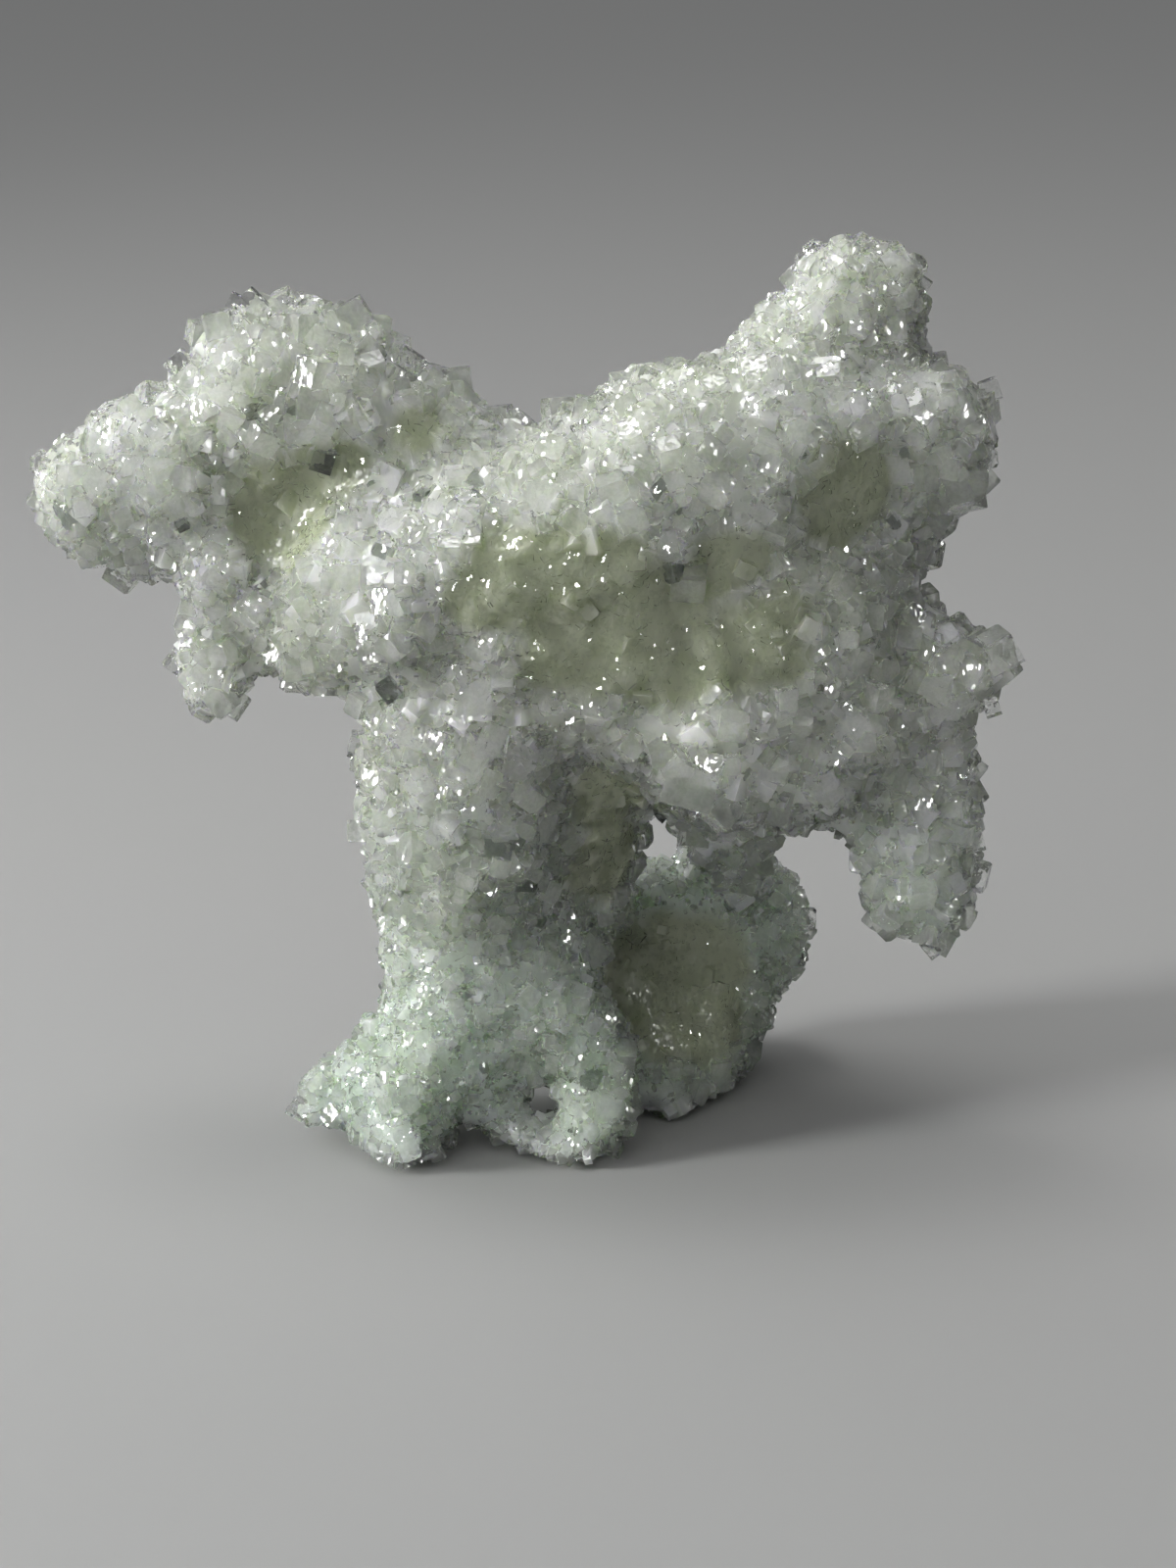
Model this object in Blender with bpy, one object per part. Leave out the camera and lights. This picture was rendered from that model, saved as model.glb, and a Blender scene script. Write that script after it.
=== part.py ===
"""Prehnite pseudomorph: a branching, free-standing growth of pale green prehnite.

The real specimen is one intergrown solid. A broad upper mass with two wings stands on a
short stalk, which spreads into two front feet, and on one lobe behind. A knob and a
drooping arm hang free at the sides. So the model is one closed solid, whose surface
reaches the tips of the crystals that coat it.

Axes: +X to the right of the front view, +Y to the back, +Z up.
Origin: the middle of the box around the specimen, on the surface that its feet stand on.
"""

import bmesh
import bpy
from mathutils import Vector, noise

# Driving dimensions, in millimetres unless a name says otherwise
MM = 0.001
VOXEL = 0.9
SMOOTHING_FACTOR = 0.5
SMOOTHING_ROUNDS = 9
NODULE_SPACING = 7.0
NODULE_HEIGHT = 1.3
GRIT_SPACING = 2.6
GRIT_HEIGHT = 0.7
TRIANGLES_WANTED = 7400
FLOOR_CUT = 0.6
SPHERE_DETAIL = 3

# Each limb is a chain of knots: x, y and z of its middle, its half width and its half depth
LIMBS = {
    "wing_tip": [
        (-41.0, 1.0, 53.0, 3.5, 3.0),
        (-37.0, 1.0, 52.5, 6.5, 5.5),
        (-33.0, 2.0, 53.0, 8.0, 7.0),
        (-29.5, 2.5, 54.5, 7.5, 7.0),
    ],
    "wing_hump": [
        (-24.0, 1.5, 60.5, 8.0, 8.0),
        (-19.5, 1.5, 60.0, 7.5, 8.0),
        (-10.5, 1.5, 54.5, 6.0, 7.0),
        (-4.0, 0.0, 48.5, 8.0, 8.5),
    ],
    "wing_floor": [
        (-29.5, 2.5, 54.5, 7.5, 7.0),
        (-21.5, 3.5, 52.5, 8.5, 6.5),
        (-14.0, 2.0, 51.0, 8.5, 7.5),
    ],
    "knob": [
        (-27.5, 0.0, 49.0, 5.0, 5.0),
        (-29.0, -1.5, 43.5, 4.0, 4.0),
        (-29.5, -2.0, 39.0, 4.0, 4.0),
    ],
    "shoulder": [
        (-21.0, -3.5, 42.5, 5.0, 5.5),
        (-15.5, -4.5, 47.0, 8.0, 7.5),
        (-8.5, -5.0, 48.5, 8.5, 8.0),
        (-2.0, -4.5, 50.5, 8.5, 8.5),
        (5.0, -3.5, 54.5, 9.5, 9.5),
        (10.5, -2.0, 55.0, 10.0, 10.0),
        (16.0, 0.0, 56.5, 9.5, 9.0),
    ],
    "crown": [
        (15.5, 2.0, 57.0, 8.0, 7.0),
        (19.0, 4.0, 64.5, 7.0, 6.0),
        (20.5, 4.0, 67.0, 6.5, 6.0),
    ],
    "right_wing": [
        (20.5, 2.0, 57.0, 8.0, 7.5),
        (24.5, 1.0, 57.0, 7.5, 7.0),
        (24.5, 1.0, 54.5, 6.0, 6.5),
    ],
    "brow": [
        (1.0, -5.5, 49.0, 6.5, 6.0),
        (7.0, -6.5, 46.5, 4.5, 4.5),
        (13.5, -5.5, 49.5, 6.0, 5.0),
        (19.0, -5.0, 45.0, 4.5, 4.0),
    ],
    "middle": [
        (-7.5, -4.5, 43.5, 8.0, 7.5),
        (0.0, -4.0, 43.5, 9.0, 8.5),
        (9.0, -2.5, 42.5, 10.0, 8.0),
        (17.0, -2.0, 42.5, 8.5, 8.0),
        (21.5, 0.0, 48.5, 5.0, 6.0),
    ],
    "lower_ledge": [
        (3.0, -3.0, 39.5, 8.0, 8.0),
        (10.0, -5.5, 36.0, 7.5, 7.0),
        (15.5, -3.5, 33.5, 7.0, 7.0),
        (21.5, -2.0, 35.5, 7.0, 6.5),
    ],
    "under_ledge": [
        (8.0, 2.0, 32.5, 6.5, 6.5),
        (17.5, 1.0, 31.0, 6.5, 6.0),
    ],
    "right_arm": [
        (20.5, -1.0, 42.5, 6.0, 6.0),
        (25.5, -3.0, 39.0, 5.5, 4.5),
        (31.0, -4.0, 40.5, 3.0, 2.5),
    ],
    "drooping_lobe": [
        (21.5, -2.0, 35.5, 7.0, 6.5),
        (25.0, -3.0, 36.0, 5.0, 4.5),
        (27.0, -2.0, 30.0, 5.0, 4.5),
        (26.5, -2.0, 23.5, 5.5, 4.5),
        (26.5, -2.0, 20.5, 5.0, 4.0),
    ],
    "rear_ridge": [
        (-18.0, 5.0, 50.5, 6.5, 5.0),
        (-7.0, 8.0, 45.0, 7.0, 6.0),
        (6.0, 8.0, 49.0, 7.5, 6.0),
        (16.0, 7.0, 44.5, 6.5, 6.0),
        (9.0, 9.5, 37.5, 5.0, 5.0),
    ],
    "stalk": [
        (-9.0, -4.0, 37.0, 9.0, 8.0),
        (-10.0, -3.0, 28.0, 9.0, 8.5),
        (-9.5, -2.0, 21.5, 8.5, 8.0),
        (-9.5, -1.5, 16.0, 7.5, 7.5),
        (-8.0, -2.0, 12.5, 9.5, 8.0),
    ],
    "stalk_back": [
        (-2.0, 0.5, 37.0, 8.5, 8.5),
        (-1.5, 2.0, 28.0, 6.5, 7.0),
        (-2.0, 3.0, 21.0, 6.5, 6.5),
        (-4.0, 3.0, 14.0, 6.0, 6.0),
    ],
    "left_foot": [
        (-10.5, -3.0, 10.0, 7.0, 7.0),
        (-15.0, -6.5, 5.5, 5.0, 5.5),
        (-15.0, -9.0, 2.0, 4.0, 4.0),
    ],
    "left_toe": [
        (-14.5, -5.0, 7.0, 5.5, 5.0),
        (-20.0, -5.5, 4.5, 4.0, 3.5),
        (-22.0, -5.5, 4.0, 3.0, 3.0),
    ],
    "right_foot": [
        (-4.0, -3.0, 11.0, 6.5, 6.5),
        (1.0, -6.0, 7.0, 4.0, 4.5),
        (1.0, -7.5, 3.5, 3.5, 4.0),
        (-2.0, -9.0, 1.0, 3.0, 3.5),
    ],
    "foot_bridge": [
        (-8.5, -4.0, 8.0, 5.0, 5.5),
        (-8.5, -5.0, 5.0, 3.0, 3.5),
        (-6.0, -8.0, 1.5, 2.0, 2.5),
    ],
    "back_lobe": [
        (3.0, 8.5, 13.5, 5.5, 4.0),
        (10.0, 11.0, 12.5, 7.5, 4.0),
        (12.5, 12.0, 12.0, 8.0, 4.0),
        (10.5, 9.5, 7.0, 6.5, 4.0),
        (7.5, 3.5, 3.5, 6.0, 4.5),
        (5.5, 1.0, 1.5, 4.5, 4.5),
    ],
    "back_toe": [
        (3.0, 8.0, 8.0, 6.0, 4.5),
        (7.5, 4.5, 3.5, 6.0, 4.5),
        (10.0, 4.0, 1.5, 3.5, 4.0),
    ],
    "back_root": [
        (11.0, 11.0, 14.0, 5.0, 4.0),
        (11.5, 8.0, 20.0, 3.5, 4.0),
        (11.5, 3.0, 28.0, 5.5, 5.5),
    ],
}

# Colour and finish of the whole specimen
MINT = (0.42, 0.47, 0.38, 1.0)
ROUGHNESS = 0.35


def clear_scene():
    """Remove every object that the file opened with."""
    for thing in list(bpy.data.objects):
        bpy.data.objects.remove(thing, do_unlink=True)


def prehnite_material():
    """Pale green prehnite, with the colour and gloss of its crystal crust."""
    material = bpy.data.materials.new("prehnite")
    material.use_nodes = True
    shader = material.node_tree.nodes["Principled BSDF"]
    shader.inputs["Base Color"].default_value = MINT
    shader.inputs["Roughness"].default_value = ROUGHNESS
    shader.inputs["Metallic"].default_value = 0.0
    return material


def ball_points():
    """Points of a unit ball, which each knot of a limb stretches to its own size."""
    ball = bmesh.new()
    bmesh.ops.create_icosphere(ball, subdivisions=SPHERE_DETAIL, radius=1.0)
    points = [vertex.co.copy() for vertex in ball.verts]
    ball.free()
    return points


def add_link(solid, ball, knot_a, knot_b):
    """Add the tapered link that wraps two neighbouring knots of a limb."""
    corners = []
    for x, y, z, half_width, half_depth in (knot_a, knot_b):
        middle = Vector((x, y, z))
        for point in ball:
            reach = Vector((point.x * half_width, point.y * half_depth, point.z * half_width))
            corners.append(solid.verts.new((middle + reach) * MM))
    hull = bmesh.ops.convex_hull(solid, input=corners, use_existing_faces=False)
    spare = [part for part in hull["geom_interior"] if isinstance(part, bmesh.types.BMVert)]
    bmesh.ops.delete(solid, geom=spare, context="VERTS")


def limb_mesh():
    """Overlapping links of every limb, not yet fused."""
    ball = ball_points()
    solid = bmesh.new()
    for knots in LIMBS.values():
        for knot_a, knot_b in zip(knots, knots[1:]):
            add_link(solid, ball, knot_a, knot_b)
    mesh = bpy.data.meshes.new("limbs")
    solid.to_mesh(mesh)
    solid.free()
    return mesh


def evaluated_copy(thing):
    """The mesh of an object as its modifiers leave it."""
    graph = bpy.context.evaluated_depsgraph_get()
    return bpy.data.meshes.new_from_object(thing.evaluated_get(graph))


def fuse(thing):
    """Join the links into one skin and round the creases between them."""
    remesh = thing.modifiers.new("one_skin", "REMESH")
    remesh.mode = "VOXEL"
    remesh.voxel_size = VOXEL * MM
    smooth = thing.modifiers.new("rounded_creases", "SMOOTH")
    smooth.factor = SMOOTHING_FACTOR
    smooth.iterations = SMOOTHING_ROUNDS


def nodule_height(place):
    """Height of the crust above the smooth limb at a place, in millimetres."""
    nearest = noise.voronoi(place / NODULE_SPACING)[0][0]
    nodule = NODULE_HEIGHT * (0.5 - nearest)
    grit = GRIT_HEIGHT * noise.noise(place / GRIT_SPACING)
    return nodule + grit


def grow_crust(mesh):
    """Push the skin out and in, into nodules and finer grit."""
    moved = []
    for vertex in mesh.vertices:
        height = nodule_height(vertex.co / MM)
        moved.append(vertex.co + vertex.normal * height * MM)
    for vertex, place in zip(mesh.vertices, moved):
        vertex.co = place


def thin_out(thing):
    """Leave only the triangles that the shape needs."""
    count = sum(len(face.vertices) - 2 for face in thing.data.polygons)
    decimate = thing.modifiers.new("fewer_triangles", "DECIMATE")
    decimate.ratio = TRIANGLES_WANTED / count
    decimate.use_collapse_triangulate = True


def cut_feet_flat(mesh):
    """Slice off what lies below the contact level, so each foot has a flat to stand on."""
    solid = bmesh.new()
    solid.from_mesh(mesh)
    everything = solid.verts[:] + solid.edges[:] + solid.faces[:]
    level = Vector((0.0, 0.0, FLOOR_CUT * MM))
    cut = bmesh.ops.bisect_plane(
        solid, geom=everything, plane_co=level, plane_no=(0.0, 0.0, -1.0), clear_outer=True
    )
    rim = [part for part in cut["geom_cut"] if isinstance(part, bmesh.types.BMEdge)]
    bmesh.ops.contextual_create(solid, geom=rim)
    bmesh.ops.triangulate(solid, faces=solid.faces[:])
    solid.to_mesh(mesh)
    solid.free()


def stand_at_origin(mesh):
    """Move the mesh so that the middle of its box's underside is the origin."""
    lowest = Vector(min(vertex.co[axis] for vertex in mesh.vertices) for axis in range(3))
    highest = Vector(max(vertex.co[axis] for vertex in mesh.vertices) for axis in range(3))
    shift = Vector(((lowest.x + highest.x) / 2, (lowest.y + highest.y) / 2, lowest.z))
    for vertex in mesh.vertices:
        vertex.co -= shift
    print("moved by, mm:", [round(part / MM, 2) for part in shift])
    print("size, mm:", [round(part / MM, 1) for part in highest - lowest])


def show_as(thing, mesh):
    """Give an object a finished mesh in place of its working one."""
    thing.modifiers.clear()
    thing.data = mesh


def build_specimen():
    """Model the whole intergrown specimen as one solid."""
    specimen = bpy.data.objects.new("prehnite_cluster", limb_mesh())
    bpy.context.scene.collection.objects.link(specimen)
    fuse(specimen)
    show_as(specimen, evaluated_copy(specimen))
    grow_crust(specimen.data)
    thin_out(specimen)
    show_as(specimen, evaluated_copy(specimen))
    cut_feet_flat(specimen.data)
    stand_at_origin(specimen.data)
    specimen.data.name = "prehnite_cluster"
    specimen.data.materials.clear()
    specimen.data.materials.append(prehnite_material())
    return specimen


clear_scene()
build_specimen()
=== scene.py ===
# %% [markdown]
# # A prehnite cast, crystal by crystal
#
# The specimen is a hand-sized growth of prehnite that coated and then outlived another
# mineral. Three things make its look: a milky, pale green mass that light sinks into, a crust
# of small clear blocks that grew out of it, and the glints of their flat faces.
# The imported model gives the size and the big shape. This lesson grows the surface on it.

# %% The imported model
import math

import bmesh
import bpy
import numpy as np
from mathutils import Euler, Matrix, Vector, noise
from mathutils.bvhtree import BVHTree
from mathutils.kdtree import KDTree


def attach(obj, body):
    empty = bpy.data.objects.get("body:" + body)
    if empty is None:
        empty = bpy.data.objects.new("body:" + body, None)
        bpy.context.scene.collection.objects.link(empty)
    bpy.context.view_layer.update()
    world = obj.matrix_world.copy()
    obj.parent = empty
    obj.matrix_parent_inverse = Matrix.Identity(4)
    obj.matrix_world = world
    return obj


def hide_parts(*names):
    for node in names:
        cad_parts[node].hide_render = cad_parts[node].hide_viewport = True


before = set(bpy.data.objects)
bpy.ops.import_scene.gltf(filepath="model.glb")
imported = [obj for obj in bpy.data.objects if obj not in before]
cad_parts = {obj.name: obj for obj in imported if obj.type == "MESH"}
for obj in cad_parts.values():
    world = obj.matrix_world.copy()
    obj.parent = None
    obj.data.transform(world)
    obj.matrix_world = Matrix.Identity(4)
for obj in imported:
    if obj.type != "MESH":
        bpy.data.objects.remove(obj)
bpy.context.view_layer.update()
MM = 0.001
SEED = 7

cad_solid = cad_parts["prehnite_cluster"]

# %% [markdown]
# ## Where the camera stands
#
# The photograph looks down on the specimen by about 19.5 degrees, from a little over its top.
# The blocks of the crust, 1 to 2 mm wide, set the scale and so the distance. The lens is fairly
# long for that distance, which keeps the wings in proportion.

# %% Camera
CAMERA_PLACE = Vector((5.3, -223.4, 107.3)) * MM
CAMERA_PITCH = math.radians(19.5)
CAMERA_LENS = 67.5


def add_camera():
    """The one camera, at the photograph's viewing angle."""
    data = bpy.data.cameras.new("view")
    data.lens = CAMERA_LENS
    data.clip_start = 0.01
    camera = bpy.data.objects.new("view", data)
    camera.location = CAMERA_PLACE
    camera.rotation_euler = Euler((math.radians(90) - CAMERA_PITCH, 0.0, 0.0))
    bpy.context.scene.collection.objects.link(camera)
    bpy.context.scene.camera = camera
    return camera


camera = add_camera()
print("camera, mm:", [round(part / MM, 1) for part in camera.location], "lens:", CAMERA_LENS)

# %% [markdown]
# ## Small helpers for meshes
#
# The crystals are worked out as arrays of points, many thousand at a time, because a loop over
# single objects would take minutes. These helpers carry points between arrays and meshes.

# %% Mesh helpers
def link(name, mesh):
    """Put a mesh in the scene as an object."""
    thing = bpy.data.objects.new(name, mesh)
    bpy.context.scene.collection.objects.link(thing)
    return thing


def settled(thing):
    """Bake an object's modifiers into its mesh."""
    graph = bpy.context.evaluated_depsgraph_get()
    mesh = bpy.data.meshes.new_from_object(thing.evaluated_get(graph))
    thing.modifiers.clear()
    thing.data = mesh
    return thing


def coordinates(mesh):
    """A mesh's points as an array, in metres."""
    values = np.empty(len(mesh.vertices) * 3, np.float32)
    mesh.vertices.foreach_get("co", values)
    return values.reshape(-1, 3).astype(float)


def normals(mesh):
    """A mesh's outward directions, point by point."""
    values = np.empty(len(mesh.vertices) * 3, np.float32)
    mesh.vertex_normals.foreach_get("vector", values)
    return values.reshape(-1, 3).astype(float)


def triangles(thing):
    """How many triangles an object's mesh has."""
    thing.data.calc_loop_triangles()
    return len(thing.data.loop_triangles)


# %% [markdown]
# ## The massive prehnite
#
# Under the crust lies one solid mass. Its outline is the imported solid's, a crystal's height
# further in. A voxel remesh of that solid gives an even skin that can carry fine relief.
# Sculpting by hand would follow the photograph no better, and could not be repeated.

# %% The mass under the crust
CRUST_HEIGHT = 1.05
SKIN_VOXEL = 0.66
SKIN_SMOOTHING = 7
SMOOTHING_STEP = 0.5


def shrunken_skin():
    """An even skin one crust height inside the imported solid."""
    skin = link("massive_prehnite", cad_solid.data.copy())
    remesh = skin.modifiers.new("even", "REMESH")
    remesh.mode = "VOXEL"
    remesh.voxel_size = SKIN_VOXEL * MM
    smooth = skin.modifiers.new("soft", "SMOOTH")
    smooth.factor = SMOOTHING_STEP
    smooth.iterations = SKIN_SMOOTHING
    shrink = skin.modifiers.new("inward", "DISPLACE")
    shrink.strength = -CRUST_HEIGHT * MM
    shrink.mid_level = 0.0
    return settled(skin)


# The pit between the front feet, in millimetres.
PIT_MIDDLE = Vector((1.6, -7.0, 3.8))
PIT_HALF_SIZES = Vector((1.5, 6.0, 1.7))
PIT_ROUNDNESS = 3


def bore_pit(thing):
    """Take a small dark pit out of the mass between the front feet."""
    bpy.ops.mesh.primitive_ico_sphere_add(subdivisions=PIT_ROUNDNESS, radius=1.0)
    pit = bpy.context.object
    pit.data.transform(Matrix.LocRotScale(PIT_MIDDLE * MM, None, PIT_HALF_SIZES * MM))
    step = thing.modifiers.new("pit", "BOOLEAN")
    step.operation = "DIFFERENCE"
    step.solver = "MANIFOLD"
    step.object = pit
    settled(thing)
    bpy.data.objects.remove(pit)


mass = shrunken_skin()
bore_pit(mass)
print("skin:", len(mass.data.vertices), "points")

# %% [markdown]
# Crystals crowd on crests and leave hollows nearly bare, so every point of the skin is measured
# for how far it stands out. The measure compares the skin with a much smoothed copy of itself.

# %% The crest measure
CREST_SMOOTHING = 90
CREST_FULL = 0.55


def crest_measure(mesh):
    """How far each point stands out: -1 deep in a hollow, 1 on a sharp crest."""
    probe = link("probe", mesh.copy())
    smooth = probe.modifiers.new("smooth", "SMOOTH")
    smooth.factor = SMOOTHING_STEP
    smooth.iterations = CREST_SMOOTHING
    offset = coordinates(mesh) - coordinates(settled(probe).data)
    bpy.data.objects.remove(probe)
    height = (offset * normals(mesh)).sum(1) / MM
    return np.clip((height - np.median(height)) / CREST_FULL, -1.0, 1.0)


crest = crest_measure(mass.data)
print("crest measure:", np.percentile(crest, [5, 25, 50, 75, 95]).round(2))

# %% [markdown]
# The mass is not smooth: it is made of crystals too, drowned in each other to a pebbled skin.
# Cell noise gives rounded pebbles with sharp valleys, which is how intergrown crystals meet.

# %% Pebbled relief
PEBBLE_WIDTH = 2.4
PEBBLE_HEIGHT = 0.55
GRAIN_WIDTH = 1.1
GRAIN_HEIGHT = 0.18
VALLEY_SHARE = 0.45
FLOOR_GAP = 0.12


def pebbles(place):
    """Height of the intergrown skin at a place, in millimetres."""
    wide = noise.voronoi(Vector(place) / PEBBLE_WIDTH)[0]
    fine = noise.voronoi(Vector(place) / GRAIN_WIDTH)[0]
    return PEBBLE_HEIGHT * (VALLEY_SHARE - wide[0]) + GRAIN_HEIGHT * (VALLEY_SHARE - fine[0])


def roughen(thing):
    """Give the mass its pebbled skin, kept just off the floor."""
    mesh = thing.data
    points = coordinates(mesh)
    heights = np.array([pebbles(point / MM) for point in points])
    points += normals(mesh) * heights[:, None] * MM
    points[:, 2] = np.maximum(points[:, 2], FLOOR_GAP * MM)
    mesh.vertices.foreach_set("co", points.ravel())
    mesh.shade_smooth()
    mesh.update()


roughen(mass)
print("mass, mm:", [round(size / MM, 1) for size in mass.dimensions])

# %% [markdown]
# ## Finding places in the photograph
#
# Some features have a place that the photograph fixes: bare hollows, and a few large crystals.
# A ray from the camera through the feature's pixel meets the skin where the feature belongs.
# So the pixel is the only number to read off, and the place sits on the mass from any side.

# %% From a pixel to the skin
PHOTO_WIDTH, PHOTO_HEIGHT = 1200, 1600
SENSOR = 36.0
# Distances along a sight line in metres, from before the specimen to behind it.
SIGHT_DISTANCES = np.arange(0.20, 0.30, 0.0005)

skin_tree = BVHTree.FromPolygons(
    [vertex.co for vertex in mass.data.vertices], [polygon.vertices for polygon in mass.data.polygons]
)


def sight_line(pixel):
    """The direction in which the camera sees a pixel of the photograph."""
    pixel_size = SENSOR / CAMERA_LENS / PHOTO_HEIGHT
    across = (pixel[0] - PHOTO_WIDTH / 2) * pixel_size
    up = (PHOTO_HEIGHT / 2 - pixel[1]) * pixel_size
    turned = Euler((math.radians(90) - CAMERA_PITCH, 0.0, 0.0)).to_matrix()
    return (turned @ Vector((across, up, -1.0))).normalized()


def where_seen(pixel):
    """Where on the skin a pixel of the photograph lies, or the skin nearest to its sight line."""
    towards = sight_line(pixel)
    place = skin_tree.ray_cast(CAMERA_PLACE, towards)[0]
    if place is not None:
        return place
    passed = (skin_tree.find_nearest(CAMERA_PLACE + towards * far) for far in SIGHT_DISTANCES)
    return min(passed, key=lambda found: found[3])[0]


HUMP_CREST = (290, 340)
print("the left hump's crest, mm:", [round(part / MM, 1) for part in where_seen(HUMP_CREST)])

# %% [markdown]
# ## Where the crystals grow
#
# The photograph shows the crust thick on every crest and thin in a few hollows: one behind the
# left hump, a long one across the middle, the stalk's shaded side and the back lobe. Each is
# named here with its pixel and a radius in millimetres. Two more are guessed on the back, which
# the photograph doesn't show, with their middles in millimetres.

# %% Hollows
# These hollows also tint the mass olive and darker: partly its own tint, partly painted shade.
HOLLOWS_SEEN = {
    "behind_the_hump": ((297, 520), 5.5),
    "hump_gully": ((345, 478), 3.0),
    "neck": ((425, 438), 2.6),
    "middle_left": ((520, 600), 5.5),
    "middle": ((600, 625), 8.0),
    "middle_low": ((680, 662), 5.4),
    "middle_right": ((775, 655), 5.2),
    "under_the_shoulder": ((745, 570), 3.6),
    "right_wing": ((865, 505), 4.8),
    "stalk_side": ((632, 800), 5.0),
    "stalk_side_low": ((612, 880), 4.5),
    "back_lobe": ((690, 1010), 8.0),
}
HOLLOWS_GUESSED = {
    "rear_left": ((-8.0, 9.0, 52.0), 6.0),
    "rear_right": ((16.0, 10.0, 52.0), 6.0),
}
HOLLOWS = {name: (where_seen(pixel) / MM, radius) for name, (pixel, radius) in HOLLOWS_SEEN.items()}
HOLLOWS.update(HOLLOWS_GUESSED)


def nearness(points, balls):
    """How deep each point lies in the nearest of some soft balls, from 0 to 1."""
    best = np.zeros(len(points))
    for middle, radius in balls.values():
        distance = np.linalg.norm(points / MM - np.array(middle), axis=1)
        best = np.maximum(best, np.clip(1.0 - distance / radius, 0.0, 1.0))
    return np.sqrt(best)


# %% [markdown]
# A hollow's edge is not a circle. Noise bends it, and the crust thins out over a millimetre or
# two. The mouth of the pit between the feet is kept free of crystals altogether.

# %% Bare ground
EDGE_NOISE = 0.30
EDGE_WIDTH = 3.5
BARE_FROM, BARE_FULL = 0.22, 0.58
PIT_MOUTH = {"between_the_feet": ((1.6, -8.6, 3.8), 1.8)}


def bareness(points):
    """How bare the ground is at each point, from 0 in the crust to 1 in a hollow."""
    bend = np.array([noise.noise(Vector(point / MM / EDGE_WIDTH)) for point in points])
    deep = nearness(points, HOLLOWS)
    return np.clip((deep + EDGE_NOISE * bend - BARE_FROM) / (BARE_FULL - BARE_FROM), 0.0, 1.0)


# %% [markdown]
# Sizes differ from place to place too. The left hump, the ledge and the right arm carry the
# coarsest crystals, and the feet, the knob, the back lobe, the crown and the wing's tip the
# finest. Middles and radii of these grounds are in millimetres.

# %% Coarse and fine ground
COARSER = 0.40
FINER = 0.38
COARSE_GROUND = {
    "left_hump": ((-18.0, -2.0, 62.0), 13.0),
    "ledge": ((15.0, -12.0, 35.0), 9.0),
    "right_arm": ((32.0, -5.0, 40.0), 9.0),
    "waist": ((0.0, -4.0, 58.0), 10.0),
    "rear": ((5.0, 12.0, 45.0), 12.0),
}
FINE_GROUND = {
    "feet": ((-3.0, -10.0, 4.0), 22.0),
    "knob": ((-30.5, -2.0, 36.0), 9.0),
    "lobe": ((16.0, 10.0, 10.0), 13.0),
    "crown": ((26.0, 2.0, 68.0), 9.0),
    "wing_tip": ((-38.0, 0.0, 50.0), 8.0),
}
print("coarse grounds:", *COARSE_GROUND, "fine grounds:", *FINE_GROUND)

# %% [markdown]
# Points are thrown at random over the skin, weighted by area. A point that lands too close to
# one already kept is dropped, which is Poisson-disk scattering done by hand. Geometry Nodes
# could scatter as well, but here every crystal needs its own size, tilt and ground.

# %% Throwing points on the skin
# Points are looked up by cells of this size in millimetres, wider than the widest spacing.
CELL = 2.6
NEXT_CELLS = (-1, 0, 1)


def skin_samples(mesh, values, count, rng):
    """Random points on a mesh with their outward directions and a value carried along."""
    mesh.calc_loop_triangles()
    corners = np.empty(len(mesh.loop_triangles) * 3, np.int32)
    mesh.loop_triangles.foreach_get("vertices", corners)
    corners = corners.reshape(-1, 3)
    points = coordinates(mesh)
    outward = normals(mesh)
    a, b, c = (points[corners[:, i]] for i in range(3))
    area = np.linalg.norm(np.cross(b - a, c - a), axis=1)
    picks = rng.choice(len(corners), count, p=area / area.sum())
    weights = rng.dirichlet((1.0, 1.0, 1.0), count)
    places = (points[corners[picks]] * weights[:, :, None]).sum(1)
    directions = (outward[corners[picks]] * weights[:, :, None]).sum(1)
    directions /= np.linalg.norm(directions, axis=1)[:, None]
    carried = (values[corners[picks]] * weights).sum(1)
    return places, directions, carried


def spaced(places, widths, closeness):
    """Which thrown points stay, when each keeps its neighbours at a distance."""
    kept = []
    cells = {}
    for index, (place, width) in enumerate(zip((places / MM).tolist(), widths.tolist())):
        home = tuple(int(part // CELL) for part in place)
        near = (
            other
            for x in NEXT_CELLS for y in NEXT_CELLS for z in NEXT_CELLS
            for other in cells.get((home[0] + x, home[1] + y, home[2] + z), ())
        )
        if any(math.dist(place, p) < closeness * (width + w) / 2 for p, w in near):
            continue
        cells.setdefault(home, []).append((place, width))
        kept.append(index)
    return np.array(kept)


# %% [markdown]
# The photograph shows two sizes at once. Blocks 0.7 to 2.1 mm wide give the crust its shape, and
# a sugar of grains 0.35 to 0.85 mm wide fills the ground between them and makes many of the
# glints. Each kind is one row of numbers: its width, how much widths spread, how many points are
# thrown for it, how close two may stand, and how strongly it keeps to crests and out of hollows.

# %% Blocks and sugar
BLOCKS = dict(width=1.08, spread=0.30, least=0.7, most=2.1, throws=40000, closeness=0.70,
              base=0.55, on_crest=0.50, in_hollow=0.94)
SUGAR = dict(width=0.52, spread=0.24, least=0.34, most=0.85, throws=110000, closeness=0.62,
             base=0.72, on_crest=0.40, in_hollow=0.10)
GROWTH_PATCH = 4.5
GROWTH_SWING = 0.9
CLEARANCE = 0.42


def patchiness(places):
    """Growth is patchy: how willing the ground is at each place, around 1."""
    swings = [noise.noise(Vector(place / MM / GROWTH_PATCH)) for place in places]
    return 1.0 + GROWTH_SWING * np.array(swings)


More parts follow.
